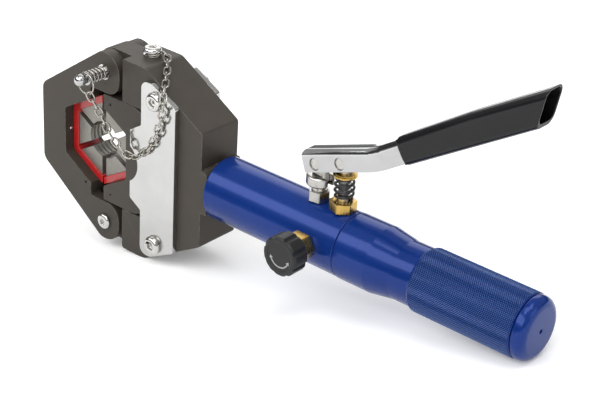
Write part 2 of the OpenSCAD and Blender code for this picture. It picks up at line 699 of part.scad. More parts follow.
// Brass gland nut round the plunger and the seal inside it
gland_seat = barrel_r - 0.6;
gland_foot = 10;
module gland_nut() {
    color(brass) difference() {
        union() {
            translate([plunger_x, 0, gland_seat + 0.6]) rotate([0, 0, 9])
                cylinder(h = gland_top - gland_seat - 0.6, r = gland_af / 2 / cos(30), $fn = 6);
            bar_z(gland_foot, gland_top - 1, gland_thread_r, plunger_x);
        }
        bar_z(gland_foot - 1, gland_top + 1, plunger_r + fit, plunger_x);
        bar_z(gland_foot - 1, gland_foot + 4, plunger_r + 1.4, plunger_x);
    }
}
module plunger_seal() {
    color(rubber) difference() {
        bar_z(gland_foot, gland_foot + 3.9, plunger_r + 1.4 - seat, plunger_x);
        bar_z(gland_foot - 1, gland_foot + 5, plunger_r + fit, plunger_x);
    }
}

// Plunger with the eye that the lever drives, and its brass spring cap
cap_t = 2.2;
eye_r = 6.6;
eye_half_w = 3.9;
plunger_foot = 4;
module plunger() {
    color(bright_steel) difference() {
        union() {
            bar_z(plunger_foot, plunger_pin_z - 4, plunger_r, plunger_x);
            bar_y(-eye_half_w, eye_half_w, eye_r, plunger_x, plunger_pin_z);
        }
        bar_y(-10, 10, lever_pin_r + open_pivot_play, plunger_x, plunger_pin_z);
    }
}
module spring_cap() {
    color(brass) difference() {
        union() {
            bar_z(spring_top - cap_t, spring_top - 0.7, 8, plunger_x);
            bar_z(spring_top - 1, spring_top, 7, plunger_x);
        }
        bar_z(spring_top - 20, spring_top + 1, plunger_r + seat, plunger_x);
    }
}
module plunger_spring() {
    color(bright_steel) translate([plunger_x, 0, 0])
        coil(5.8, 6.8, gland_top, spring_top - cap_t, plunger_turns, plunger_wire, "plunger_spring");
}

// Fulcrum post with its slotted collar, its nut and the link to the lever
collar_r = 9.4;
collar_foot = 33.6;
collar_top = 41;
slot_half_w = 3.7;
link_half_t = 3.5;
link_pin_r = 2.2;
post_foot = 12;
module fulcrum_post() {
    color(chrome) difference() {
        union() {
            bar_z(post_foot, collar_foot + 0.5, post_r, fulcrum_x);
            translate([fulcrum_x, 0, 0]) rotate_extrude() polygon([[0, collar_foot],
                [collar_r - 1.2, collar_foot], [collar_r, collar_foot + 1.2], [collar_r, collar_top - 1],
                [collar_r - 1, collar_top], [0, collar_top]]);
        }
        block([fulcrum_x - 20, -slot_half_w, link_base_z - 5], [fulcrum_x + 20, slot_half_w, 60]);
        bar_y(-collar_r + 0.9, collar_r - 0.9, link_pin_r + seat, fulcrum_x, link_base_z);
    }
}
module fulcrum_nut() {
    color(chrome) difference() {
        translate([fulcrum_x, 0, barrel_r]) rotate([0, 0, 9]) cylinder(h = 7.4, r = 7.7, $fn = 6);
        bar_z(barrel_r - 1, barrel_r + 10, post_r + seat, fulcrum_x);
    }
}
module fulcrum_link() {
    color(chrome) difference() {
        union() {
            bar_y(-link_half_t, link_half_t, 4.5, fulcrum_x, link_base_z);
            block([fulcrum_x - 4.4, -link_half_t, link_base_z], [fulcrum_x + 4.4, link_half_t, fulcrum_z]);
            bar_y(-link_half_t, link_half_t, 6.4, fulcrum_x, fulcrum_z);
        }
        bar_y(-10, 10, link_pin_r + fit, fulcrum_x, link_base_z);
        bar_y(-10, 10, lever_pin_r + fit, fulcrum_x, fulcrum_z);
    }
}
module link_pin() {
    color(chrome) bar_y(-collar_r + 1, collar_r - 1, link_pin_r, fulcrum_x, link_base_z);
}

// Lever channel: a head that is parallel to the two pins, a bend and a straight core in the grip
head_end = -9.6;
head_foot = -5.4;
bend_r = 70;
crown_r = 4.6;
lever_u = [cos(lever_slope), sin(lever_slope)];
lever_v = [-sin(lever_slope), cos(lever_slope)];
core_u = [cos(core_slope), sin(core_slope)];
core_v = [-sin(core_slope), cos(core_slope)];
function at_fulcrum(s, n) = [fulcrum_x, fulcrum_z] + s * lever_u + n * lever_v;
bend_foot = at_fulcrum(bend_s, head_foot);
function core_pt(s, n) = bend_foot + s * core_u + n * core_v;
// Points of the foot of the channel as [x, z, slope], from its open end to the end of its core
bend_run = bend_r * tan((core_slope - lever_slope) / 2);
bend_steps = 6;
lever_route = concat([concat(at_fulcrum(head_end, head_foot), [lever_slope])],
    [for (i = [0:bend_steps]) let (a = lever_slope + (core_slope - lever_slope) * i / bend_steps,
        c = at_fulcrum(bend_s - bend_run, head_foot + bend_r))
        [c[0] + bend_r * sin(a), c[1] - bend_r * cos(a), a]],
    [concat(core_pt(arm_l, 0), [core_slope])]);
function above(p, n) = [p[0] - n * sin(p[2]), p[1] + n * cos(p[2])];
lever_outline = concat([for (p = lever_route) above(p, 0)],
    [for (i = [len(lever_route) - 1:-1:0]) above(lever_route[i], lever_h)]);

// Section of the channel as [y, height], an arch with rounded upper corners
function arch(w, h, r) = concat([[w, 0]], [for (a = [0:22.5:90]) [w - r + r * cos(a), h - r + r * sin(a)]],
    [for (a = [90:22.5:180]) [-w + r + r * cos(a), h - r + r * sin(a)]], [[-w, 0]]);
channel = concat(arch(lever_w / 2, lever_h, crown_r),
    [for (p = arch(lever_w / 2 - lever_wall, lever_h - lever_wall, crown_r - lever_wall)) [-p[0], p[1]]]);

// The channel swept along its route
module lever_channel() {
    n = len(channel);
    last = len(lever_route) - 1;
    polyhedron([for (p = lever_route) for (q = channel) let (c = above(p, q[1])) [c[0], q[0], c[1]]],
        concat([[for (k = [0:n - 1]) k]], [[for (k = [n - 1:-1:0]) last * n + k]],
        [for (i = [0:last - 1]) for (k = [0:n - 1])
            [i * n + k, (i + 1) * n + k, (i + 1) * n + (k + 1) % n, i * n + (k + 1) % n]]), convexity = 4);
}
module lever_arm() {
    bulge = at_fulcrum(head_end + crown_r, head_foot + lever_h - crown_r);
    corner_cut = concat([for (a = [187.5:-15:82.5]) let (t = a + lever_slope)
        bulge + (crown_r + 0.1) * [cos(t), sin(t)]],
        [for (c = [[crown_r + 0.6, lever_h + 1.5], [-1.5, lever_h + 1.5], [-1.5, lever_h - crown_r - 0.6]])
            at_fulcrum(head_end + c[0], head_foot + c[1])]);
    color(chrome) difference() {
        lever_channel();
        slab(corner_cut, -lever_w, lever_w);
        for (s = [0, pin_gap]) let (p = at_fulcrum(s, 0))
            bar_y(-lever_w, lever_w, lever_pin_r + seat, p[0], p[1]);
    }
}
pin_half_l = lever_w / 2 - 1;
module fulcrum_pin() {
    color(bright_steel) bar_y(-pin_half_l, pin_half_l, lever_pin_r, fulcrum_x, fulcrum_z);
}
module plunger_pin() {
    color(bright_steel) bar_y(-pin_half_l, pin_half_l, lever_pin_r, plunger_x, plunger_pin_z);
}

// Dipped grip: a rounded sleeve over the core that is open at its slanted end
sleeve_wall = 1.7;
module sleeve_bar(s0, s1, s2, drop) {
    top = lever_h + sleeve_wall;
    hull() for (e = [[s0, -sleeve_wall, top], [s1, -2.6, top + 0.5], [s2, -4.2, top - 1]])
        for (y = [-1, 1]) for (n = [e[1] + grip_edge, e[2] - grip_edge])
            let (p = core_pt(e[0], n)) translate([p[0], y * (grip_w / 2 - grip_edge), p[1]])
                rotate([0, 90 - core_slope, 0]) cylinder(h = 0.1, r = grip_edge - drop, $fn = 24);
}
module lever_grip() {
    color(rubber) difference() {
        sleeve_bar(grip_start, grip_start + 60, grip_end, 0);
        sleeve_bar(arm_l - 8, arm_l + 10, grip_end + 6, sleeve_wall);
        slab(lever_outline, -lever_w / 2 - seat, lever_w / 2 + seat);
        slab([for (c = [[grip_foot_end, -12], [grip_end + 20, -12], [grip_end + 20, lever_h + 20],
            [grip_end, lever_h + sleeve_wall + 1], [grip_foot_end, -4.5]]) core_pt(c[0], c[1])], -20, 20);
    }
}

// Release valve: brass bush, spindle, ball and fluted knob
bush_face = -barrel_r - 8.5;
knob_face = -barrel_r - 23.5;
spindle_r = 4;
module release_bush() {
    color(brass) difference() {
        union() {
            translate([valve_x, -barrel_r, 0]) rotate([90, 0, 0])
                cylinder(h = -bush_face - barrel_r, r = bush_af / 2 / cos(30), $fn = 6);
            bar_y(bush_face + 1, -10, bush_thread_r, valve_x, 0);
        }
        bar_y(bush_face - 1, -9, spindle_r + fit, valve_x, 0);
    }
}
module release_spindle() {
    color(bright_steel) {
        bar_y(knob_face + 3, -8.3, spindle_r, valve_x, 0);
        bar_y(-9, -5.5, 2.3, valve_x, 0);
    }
}
module release_ball() {
    color(chrome) translate([valve_x, -3, 0]) sphere(r = 2.4, $fn = 32);
}
module release_knob() {
    groove_r = 2.2;
    color(rubber) translate([valve_x, knob_face, 0]) rotate([-90, 0, 0]) difference() {
        rotate_extrude() polygon([[0, 0.6], [knob_d / 2 - 4, 0.6], [knob_d / 2 - 3.6, 0],
            [knob_d / 2 - 1.2, 0], [knob_d / 2, 1.2], [knob_d / 2, knob_w - 1], [knob_d / 2 - 1, knob_w],
            [8, knob_w], [8, knob_w + 1.4], [0, knob_w + 1.4]]);
        for (i = [0:knob_lobes - 1]) rotate([0, 0, 360 * (i + 0.4) / knob_lobes])
            translate([knob_d / 2 + 0.9, 0, -1]) cylinder(h = knob_w + 2, r = groove_r, $fn = 24);
        translate([0, 0, 3]) cylinder(h = knob_w + 2, r = spindle_r + seat);
    }
}

// Handle tube that holds the oil, with its bladder and end cap
module handle_tube() {
    color(blue) turned([[barrel_bore_r, barrel_end + 0.4], [handle_r - 0.4, barrel_end + 0.4],
        [handle_r, barrel_end + 0.8], [handle_r, taper_start], [neck_r + 0.3, taper_end],
        [neck_r, taper_end + 2], [neck_r, knurl_start - 1], [grip_r - 0.6, knurl_start],
        [grip_r, knurl_start + 0.6], [grip_r, knurl_end - 0.6], [grip_r - 0.6, knurl_end],
        [barrel_bore_r, knurl_end]]);
}
bladder_r = 14;
bladder_end = knurl_end - 14;
module oil_bladder() {
    color(rubber) turned([[bladder_r - 1.6, block_rear], [barrel_bore_r - 0.3, block_rear],
        [barrel_bore_r - 0.3, block_rear + 2], [bladder_r, block_rear + 4],
        [bladder_r, bladder_end - 4], [bladder_r - 4, bladder_end], [0, bladder_end],
        [0, bladder_end - 1.6], [bladder_r - 5, bladder_end - 1.6], [bladder_r - 1.6, bladder_end - 5]]);
}
module bladder_clamp() {
    color(bright_steel) difference() {
        bar_x(block_rear + 4.2, block_rear + 8.2, barrel_bore_r - 0.05);
        bar_x(block_rear + 3, block_rear + 10, bladder_r + seat);
    }
}
cap_spigot = 9;
cap_edge = 6.5;
module end_cap() {
    color(blue) difference() {
        turned(concat([[0, knurl_end - cap_spigot], [barrel_bore_r - 0.05, knurl_end - cap_spigot],
            [barrel_bore_r - 0.05, knurl_end + 0.4], [grip_r - 0.6, knurl_end + 0.4],
            [grip_r - 0.1, knurl_end + 0.9]],
            [for (a = [0:15:90]) [grip_r - 0.1 - cap_edge + cap_edge * cos(a), cap_end - cap_edge + cap_edge * sin(a)]],
            [[0, cap_end]]));
        bar_x(knurl_end - cap_spigot - 1, cap_end + 1, vent_r);
        difference() {
            bar_x(knurl_end - 6, knurl_end - 4, barrel_bore_r + 1);
            bar_x(knurl_end - 7, knurl_end - 3, barrel_bore_r - 1.5);
        }
    }
}
module cap_seal() {
    color(rubber) difference() {
        bar_x(knurl_end - 5.95, knurl_end - 4.05, barrel_bore_r - 0.05);
        bar_x(knurl_end - 7, knurl_end - 3, barrel_bore_r - 1.5 + seat);
    }
}

head_frame();
side_plate_near();
side_plate_far();
plate_screws();
chain_screw();
chain_washer();
chain_upper();
rod_bush();
cylinder_barrel();
barrel_seal();
return_spring();
pump_block();
block_seals();
check_balls();
gland_nut();
plunger_seal();
plunger_spring();
fulcrum_post();
fulcrum_nut();
release_bush();
release_ball();
handle_tube();
oil_bladder();
bladder_clamp();
end_cap();
cap_seal();
swing_jaw();
hinge_pin();
hinge_pin_screw();
front_die_shell();
front_die_segments();
jaw_detents();
lock_washer();
lock_spring();
chain_lower();
lock_pin();
lock_ball();
split_ring();
ram_block();
rear_die_shell();
rear_die_segments();
ram_detents();
piston_rod();
piston();
piston_seal();
piston_nut();
fulcrum_link();
link_pin();
plunger();
spring_cap();
lever_arm();
lever_grip();
fulcrum_pin();
plunger_pin();
release_spindle();
release_knob();
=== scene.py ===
"""Hydraulic hose crimping tool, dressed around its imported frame.

The CAD solids stay the source of every place and size. Visible solids are copied with worked
edges, wire forms get round sections, and the knurl and the knob's arrow are added.
"""
import json
import logging
import math
from dataclasses import dataclass, field, replace
from enum import Enum
from typing import Callable, Iterable, Optional

import bmesh
import bpy
from mathutils import Matrix, Vector


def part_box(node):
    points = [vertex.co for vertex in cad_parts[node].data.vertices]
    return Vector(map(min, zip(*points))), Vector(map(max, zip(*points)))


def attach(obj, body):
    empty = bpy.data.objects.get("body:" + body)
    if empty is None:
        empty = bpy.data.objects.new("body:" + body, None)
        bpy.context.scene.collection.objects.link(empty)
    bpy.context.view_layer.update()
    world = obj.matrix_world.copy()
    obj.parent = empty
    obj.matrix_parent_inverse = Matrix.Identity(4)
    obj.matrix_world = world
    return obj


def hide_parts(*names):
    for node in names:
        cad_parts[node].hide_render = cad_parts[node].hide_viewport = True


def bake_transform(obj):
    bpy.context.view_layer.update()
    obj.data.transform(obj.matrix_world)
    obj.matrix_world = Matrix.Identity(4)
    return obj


log = logging.getLogger("crimping_tool")
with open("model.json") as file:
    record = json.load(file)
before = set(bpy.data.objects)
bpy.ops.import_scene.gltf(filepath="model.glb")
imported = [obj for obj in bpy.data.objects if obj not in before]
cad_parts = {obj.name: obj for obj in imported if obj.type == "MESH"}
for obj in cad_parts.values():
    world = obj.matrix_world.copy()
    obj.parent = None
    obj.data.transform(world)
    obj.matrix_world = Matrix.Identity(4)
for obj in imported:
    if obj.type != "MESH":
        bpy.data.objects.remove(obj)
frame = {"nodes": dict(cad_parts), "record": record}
MM = 0.001
Colour = tuple[float, float, float]
Point = tuple[float, float, float]


# Finishes

MIDDLE_TONES = (0.3, 0.7)
FULLY_RUBBED = 0.93
RUBBED_PATCHES = (0.35, 0.62)
BEVEL_SAMPLES = 4
GRAIN_SHARE, CELL_SHARE = 0.6, 0.4
SKIN_SHARE, MARK_SHARE = 0.3, 0.7
MARK_ROUGHNESS = (-0.05, 0.07)
FLAKE_SCALE = 2600.0
FLAKE_TONES = (0.2, 0.9)
BUMP_REACH = 0.0002


def grey(value: float) -> tuple[float, float, float, float]:
    """Opaque grey of one level."""
    return value, value, value, 1.0


class Wiring:
    """A node tree that is wired up step by step."""

    def __init__(self, tree: bpy.types.NodeTree) -> None:
        """Keeps the tree."""
        self.tree = tree

    def feed(self, socket: bpy.types.NodeSocket, value: object) -> None:
        """Gives an input its value.

        Args:
            socket: the input.
            value: an output socket to link to it, or a plain value.
        """
        if isinstance(value, bpy.types.NodeSocket):
            self.tree.links.new(value, socket)
        else:
            socket.default_value = value

    def add(self, kind: str, links: Optional[dict] = None, **settings: object) -> bpy.types.Node:
        """Adds one node.

        Args:
            kind: the node's type name.
            links: input name or number to an output socket or a plain value.
            settings: attributes of the node.

        Returns:
            The new node.
        """
        node = self.tree.nodes.new(kind)
        for name, value in settings.items():
            setattr(node, name, value)
        for key, value in (links or {}).items():
            self.feed(node.inputs[key], value)
        return node

    def place(self) -> bpy.types.NodeSocket:
        """Adds Object coordinates and returns them."""
        return self.add("ShaderNodeTexCoord").outputs["Object"]

    def math(self, operation: str, a: object, b: object = 0.0,
             clamp: bool = False) -> bpy.types.NodeSocket:
        """Adds a Math node and returns its value."""
        return self.add("ShaderNodeMath", {0: a, 1: b}, operation=operation,
                        use_clamp=clamp).outputs[0]

    def vector(self, operation: str, a: object, b: object) -> bpy.types.Node:
        """Adds a Vector Math node and returns it."""
        return self.add("ShaderNodeVectorMath", {0: a, 1: b}, operation=operation)

    def blend(self, share: object, low: object, high: object) -> bpy.types.NodeSocket:
        """Mixes two colours.

        Args:
            share: how much of the second colour shows, from 0 to 1.
            low: the first colour.
            high: the second colour.

        Returns:
            The mixed colour.
        """
        node = self.add("ShaderNodeMix", data_type="RGBA")
        for key, value in (("Factor_Float", share), ("A_Color", low), ("B_Color", high)):
            self.feed(next(s for s in node.inputs if s.identifier == key), value)
        return next(s for s in node.outputs if s.identifier == "Result_Color")

    def span(self, value: object, low: float, high: float, first: float = 0.0,
             last: float = 1.0) -> bpy.types.NodeSocket:
        """Maps a value from low..high to first..last and returns it."""
        return self.add("ShaderNodeMapRange",
                        {0: value, 1: low, 2: high, 3: first, 4: last}).outputs[0]


def effect(name: str, inputs: dict[str, float],
           outputs: Iterable[str]) -> tuple[Wiring, bpy.types.Node, bpy.types.Node]:
    """Starts a shader node group with float sockets.

    Args:
        name: the group's name.
        inputs: input names with their default values.
        outputs: output names.

    Returns:
        The wiring, the group's input node and its output node.
    """
    tree = bpy.data.node_groups.new(name, "ShaderNodeTree")
    for label, value in inputs.items():
        socket = tree.interface.new_socket(label, in_out="INPUT", socket_type="NodeSocketFloat")
        socket.default_value = value
    for label in outputs:
        tree.interface.new_socket(label, in_out="OUTPUT", socket_type="NodeSocketFloat")
    wiring = Wiring(tree)
    return wiring, wiring.add("NodeGroupInput"), wiring.add("NodeGroupOutput")


def build_edge_wear() -> bpy.types.NodeTree:
    """Builds the mask of rubbed edges, broken up by noise.

    Returns:
        The node group.
    """
    w, entry, leave = effect("edge_wear", {"Radius": 0.0006, "Scale": 220.0, "Amount": 0.5},
                             ["Mask"])
    rounded = w.add("ShaderNodeBevel", {"Radius": entry.outputs["Radius"]}, samples=BEVEL_SAMPLES)
    flat = w.add("ShaderNodeNewGeometry")
    turn = w.vector("DOT_PRODUCT", rounded.outputs[0], flat.outputs["Normal"])
    edge = w.span(turn.outputs["Value"], 1.0, FULLY_RUBBED)
    noise = w.add("ShaderNodeTexNoise",
                  {"Vector": w.place(), "Scale": entry.outputs["Scale"], "Detail": 4.0})
    broken = w.span(noise.outputs[0], *RUBBED_PATCHES)
    mask = w.math("MULTIPLY", w.math("MULTIPLY", edge, broken), entry.outputs["Amount"], clamp=True)
    w.feed(leave.inputs["Mask"], mask)
    return w.tree


def build_grain() -> bpy.types.NodeTree:
    """Builds the fine grain of cast, blasted or moulded skin, as a height and a slow cloud.

    Returns:
        The node group.
    """
    w, entry, leave = effect("surface_grain", {"Scale": 900.0, "Cloud Scale": 30.0},
                             ["Height", "Cloud"])
    place, scale = w.place(), entry.outputs["Scale"]
    fine = w.add("ShaderNodeTexNoise", {"Vector": place, "Scale": scale, "Detail": 3.0})
    cells = w.add("ShaderNodeTexVoronoi", {"Vector": place, "Scale": scale})
    height = w.math("ADD", w.math("MULTIPLY", fine.outputs[0], GRAIN_SHARE),
                    w.math("MULTIPLY", cells.outputs["Distance"], CELL_SHARE))
    cloud = w.add("ShaderNodeTexNoise", {"Vector": place, "Scale": entry.outputs["Cloud Scale"],
                                         "Detail": 5.0, "Roughness": 0.6})
    w.feed(leave.inputs["Height"], height)
    w.feed(leave.inputs["Cloud"], w.span(cloud.outputs[0], *MIDDLE_TONES))
    return w.tree


def build_tool_marks() -> bpy.types.NodeTree:
    """Builds fine parallel lines of grinding, turning or brushing along one axis.

    Returns:
        The node group.
    """
    w, entry, leave = effect("tool_marks",
                             {"Along X": 40.0, "Along Y": 2500.0, "Along Z": 2500.0}, ["Lines"])
    scale = w.add("ShaderNodeCombineXYZ", {0: entry.outputs["Along X"],
                                           1: entry.outputs["Along Y"],
                                           2: entry.outputs["Along Z"]})
    drawn = w.vector("MULTIPLY", w.place(), scale.outputs[0])
    lines = w.add("ShaderNodeTexNoise", {"Vector": drawn.outputs[0], "Scale": 1.0, "Detail": 3.0})
    w.feed(leave.inputs["Lines"], lines.outputs[0])
    return w.tree


class Marks(Enum):
    """Direction of the tool marks as (x, y, z) frequencies per metre."""

    NONE = (0.0, 0.0, 0.0)
    UPRIGHT = (1600.0, 1600.0, 25.0)
    ACROSS = (1600.0, 25.0, 1600.0)
    TURNED = (2600.0, 30.0, 30.0)


@dataclass(frozen=True)
class Finish:
    """One finish of the tool, from which its material is built.

    The colour and the shade take turns in the grain's cloud, and rough gives the roughness in
    each. The crests get a lighter colour, a painted highlight on the knurl's tips, where the
    distance from the tool's axis is in the crest span, in mm.
    """

    name: str
    colour: Colour
    shade: Colour
    metallic: float = 0.0
    rough: tuple[float, float] = (0.4, 0.5)
    grain: float = 900.0
    relief: float = 0.1
    cloud: float = 30.0
    coat: float = 0.0
    coat_rough: float = 0.08
    specular: float = 0.5
    marks: Marks = Marks.NONE
    worn: Optional[Colour] = None
    wear: float = 0.0
    wear_radius: float = 0.0007
    flake: float = 0.0
    crest_highlight: Optional[Colour] = None
    crest_highlight_span: tuple[float, float] = (0.0, 1.0)

    def build(self, shop: "Paintshop") -> bpy.types.Material:
        """Builds the material.

        Args:
            shop: holds the shared effects.

        Returns:
            The finished material.
        """
        material = bpy.data.materials.new(self.name)
        material.use_nodes = True
        w = Wiring(material.node_tree)
        skin = material.node_tree.nodes["Principled BSDF"]
        grain = w.add("ShaderNodeGroup", node_tree=shop.grain)
        grain.inputs["Scale"].default_value = self.grain
        grain.inputs["Cloud Scale"].default_value = self.cloud
        cloud = grain.outputs["Cloud"]
        colour = w.blend(cloud, (*self.shade, 1.0), (*self.colour, 1.0))
        rough = w.span(cloud, 0.0, 1.0, *self.rough)
        height = grain.outputs["Height"]
        if self.marks is not Marks.NONE:
            lines = w.add("ShaderNodeGroup", node_tree=shop.tool_marks)
            for socket, value in zip(lines.inputs, self.marks.value):
                socket.default_value = value
            rubbed = w.span(lines.outputs[0], *MIDDLE_TONES, *MARK_ROUGHNESS)
            rough = w.math("ADD", rough, rubbed, clamp=True)
            height = w.math("ADD", w.math("MULTIPLY", height, SKIN_SHARE),
                            w.math("MULTIPLY", lines.outputs[0], MARK_SHARE))
        if self.flake:
            cells = w.add("ShaderNodeTexVoronoi", {"Vector": w.place(), "Scale": FLAKE_SCALE})
            lit = w.span(cells.outputs["Color"], *FLAKE_TONES, 1.0 - self.flake, 1.0 + self.flake)
            bright = w.add("ShaderNodeVectorMath", {0: colour, "Scale": lit}, operation="SCALE")
            colour = bright.outputs[0]
        # Painted highlight: a lighter colour on the knurl's tips, laid by their distance from the
        # tool's axis.
        if self.crest_highlight:
            upright = w.vector("MULTIPLY", w.place(), (0.0, 1.0, 1.0))
            off_axis = w.add("ShaderNodeVectorMath", {0: upright.outputs[0]}, operation="LENGTH")
            raised = w.span(off_axis.outputs["Value"], *(edge * MM for edge in self.crest_highlight_span))
            colour = w.blend(raised, colour, (*self.crest_highlight, 1.0))
        if self.worn and self.wear:
            wear = w.add("ShaderNodeGroup", node_tree=shop.edge_wear)
            wear.inputs["Radius"].default_value = self.wear_radius
            wear.inputs["Amount"].default_value = self.wear
            colour = w.blend(wear.outputs[0], colour, (*self.worn, 1.0))
        bump = w.add("ShaderNodeBump",
                     {"Strength": self.relief, "Distance": BUMP_REACH, "Height": height})
        for key, value in (("Base Color", colour), ("Roughness", rough),
                           ("Normal", bump.outputs[0]), ("Metallic", self.metallic),
                           ("Coat Weight", self.coat), ("Coat Roughness", self.coat_rough),
                           ("Specular IOR Level", self.specular)):
            w.feed(skin.inputs[key], value)
        return material


FINISHES = {
    "head_steel": Finish("phosphated_steel", (0.064, 0.055, 0.045), (0.049, 0.042, 0.034),
                         metallic=0.25, rough=(0.42, 0.54), grain=1400.0, relief=0.12, cloud=45.0,
                         specular=0.3, worn=(0.32, 0.31, 0.29), wear=0.55),
    "plate_steel": Finish("polished_plate", (0.54, 0.54, 0.53), (0.49, 0.49, 0.48),
                          metallic=1.0, rough=(0.10, 0.17), grain=2000.0, relief=0.03, cloud=60.0,
                          marks=Marks.UPRIGHT),
    "bright_screws": Finish("bright_screw_steel", (0.62, 0.61, 0.59), (0.52, 0.51, 0.49),
                            metallic=1.0, rough=(0.12, 0.2), grain=2200.0, relief=0.05,
                            cloud=120.0),
    "chain_chrome": Finish("chain_chrome", (0.46, 0.44, 0.40), (0.32, 0.305, 0.275),
                           metallic=1.0, rough=(0.12, 0.24), grain=2600.0, relief=0.05,
                           cloud=400.0),
    "chrome_plate": Finish("chrome_plate", (0.47, 0.47, 0.475), (0.42, 0.42, 0.425),
                           metallic=1.0, rough=(0.07, 0.13), grain=1800.0, relief=0.02,
                           cloud=50.0),
    "machined_steel": Finish("machined_steel", (0.55, 0.54, 0.51), (0.44, 0.43, 0.41),
                             metallic=1.0, rough=(0.26, 0.36), grain=1600.0, relief=0.08,
                             cloud=80.0, marks=Marks.TURNED),
    "die_steel": Finish("milled_die_steel", (0.30, 0.285, 0.26), (0.23, 0.22, 0.20),
                        metallic=0.75, rough=(0.34, 0.46), grain=1500.0, relief=0.1, cloud=160.0,
                        marks=Marks.ACROSS, worn=(0.5, 0.48, 0.45), wear=0.6, wear_radius=0.0004),
    "spring_steel": Finish("blackened_spring", (0.05, 0.05, 0.052), (0.03, 0.03, 0.032),
                           metallic=0.6, rough=(0.26, 0.36), grain=2200.0, relief=0.08,
                           cloud=200.0),
    "red_paint": Finish("red_enamel", (0.52, 0.009, 0.010), (0.43, 0.007, 0.008),
                        rough=(0.28, 0.36), relief=0.05, cloud=60.0, coat=0.5, coat_rough=0.1,
                        worn=(0.62, 0.10, 0.08), wear=0.35),
    "blue_paint": Finish("blue_metallic_paint", (0.007, 0.036, 0.215), (0.006, 0.030, 0.185),
                         metallic=0.2, rough=(0.15, 0.20), grain=1500.0, relief=0.02, cloud=18.0,
                         coat=0.08, coat_rough=0.05, specular=0.2, flake=0.15),
    "brass": Finish("turned_brass", (0.56, 0.37, 0.105), (0.48, 0.31, 0.085),
                    metallic=1.0, rough=(0.22, 0.3), grain=1600.0, relief=0.06, cloud=150.0,
                    marks=Marks.UPRIGHT),
    "bronze": Finish("bearing_bronze", (0.42, 0.26, 0.12), (0.34, 0.20, 0.09),
                     metallic=1.0, rough=(0.3, 0.42), grain=1600.0, relief=0.08, cloud=120.0),
    "seal_rubber": Finish("seal_rubber", (0.022, 0.022, 0.023), (0.015, 0.015, 0.016),
                          rough=(0.5, 0.62), grain=1500.0),
    "grip_plastic": Finish("dipped_vinyl", (0.010, 0.010, 0.011), (0.008, 0.008, 0.009),
                           rough=(0.18, 0.24), grain=700.0, relief=0.03, cloud=40.0,
                           specular=0.25),
    "knob_plastic": Finish("moulded_plastic", (0.020, 0.020, 0.021), (0.014, 0.014, 0.015),
                           rough=(0.36, 0.46), grain=1700.0, relief=0.16, cloud=60.0,
                           specular=0.3, worn=(0.06, 0.06, 0.062), wear=0.5),
}
# Knurl: colour and shade darker than the barrel's paint, as painted shade of the grooves, and
# lighter crests as a painted highlight on the tips.
KNURL_SHADE_AND_HIGHLIGHT_PAINT = replace(FINISHES["blue_paint"], name="blue_paint_on_knurl_painted_shade_and_highlight",
                      colour=(0.004, 0.022, 0.13), shade=(0.003, 0.018, 0.11),
                      crest_highlight=(0.07, 0.16, 0.44), crest_highlight_span=(21.45, 21.75))
NICKEL = Finish("nickel_plated_steel", (0.50, 0.49, 0.465), (0.41, 0.40, 0.375),
                metallic=1.0, rough=(0.2, 0.28), grain=1600.0, relief=0.05, cloud=120.0)
PRINT_GREY = Finish("grey_print", (0.42, 0.42, 0.42), (0.34, 0.34, 0.34),
                    rough=(0.5, 0.6), grain=1500.0, relief=0.05)


@dataclass
class Paintshop:
    """Shared effects and the finished materials, by finish name."""

    edge_wear: bpy.types.NodeTree = field(default_factory=build_edge_wear)
    grain: bpy.types.NodeTree = field(default_factory=build_grain)
    tool_marks: bpy.types.NodeTree = field(default_factory=build_tool_marks)
    ready: dict[str, bpy.types.Material] = field(default_factory=dict)

    def material(self, finish: Finish) -> bpy.types.Material:
        """Builds a finish once.

        Args:
            finish: the finish.

        Returns:
            Its material.
        """
        if finish.name not in self.ready:
            self.ready[finish.name] = finish.build(self)
        return self.ready[finish.name]

    def paint(self, piece: bpy.types.Object, finish: Finish) -> None:
        """Gives all of a piece one finish."""
        piece.data.materials.clear()
        piece.data.materials.append(self.material(finish))

    def paint_frame(self, slots: dict[str, str]) -> None:
        """Gives every CAD node the finish of its material slot.

        Args:
            slots: node name to material slot.
        """
        for name, node in frame["nodes"].items():
            material = self.material(FINISHES[slots[name]])
            for holder in node.material_slots:
                holder.material = material
            if not node.material_slots:
                node.data.materials.append(material)


# Modelling

DOUBLES = 1e-6
FLAT_ANGLE = 0.6
WIRE_ANGLE = 80.0
EDGE_SHARES = (1.0, 0.7, 0.45, 0.25, 0.12)
VOLUME_DRIFT = 0.03
SKIN_DRIFT = (-0.12, 0.01)


def only(piece: bpy.types.Object) -> None:
    """Makes a piece the only selected and active object.

    Args:
        piece: the piece.
    """
    bpy.ops.object.select_all(action="DESELECT")
    piece.select_set(True)
    bpy.context.view_layer.objects.active = piece


def in_edit(piece: bpy.types.Object, work: Callable[[], None], mode: str = "FACE") -> None:
    """Runs operators in edit mode with nothing selected at first.

    Args:
        piece: the piece to edit.
        work: the operators.
        mode: what is selected, such as FACE or EDGE.
    """
    only(piece)
    bpy.ops.object.mode_set(mode="EDIT")
    bpy.ops.mesh.select_mode(type=mode)
    bpy.ops.mesh.select_all(action="DESELECT")
    work()
    bpy.ops.object.mode_set(mode="OBJECT")


def apply_modifier(piece: bpy.types.Object, kind: str, **settings: object) -> None:
    """Adds a modifier and applies it.

    Args:
        piece: the piece.
        kind: the modifier's type name.
        settings: attributes of the modifier.
    """
    only(piece)
    modifier = piece.modifiers.new(kind.lower(), kind)
    for name, value in settings.items():
        setattr(modifier, name, value)
    bpy.ops.object.modifier_apply(modifier=modifier.name)


def smooth(piece: bpy.types.Object, degrees: float) -> None:
    """Shades a piece smooth up to an angle."""
    only(piece)
    bpy.ops.object.shade_smooth_by_angle(angle=math.radians(degrees))


def settle(piece: bpy.types.Object) -> None:
    """Puts an object's place into its mesh."""
    only(piece)
    bpy.ops.object.transform_apply(location=True, rotation=True, scale=True)


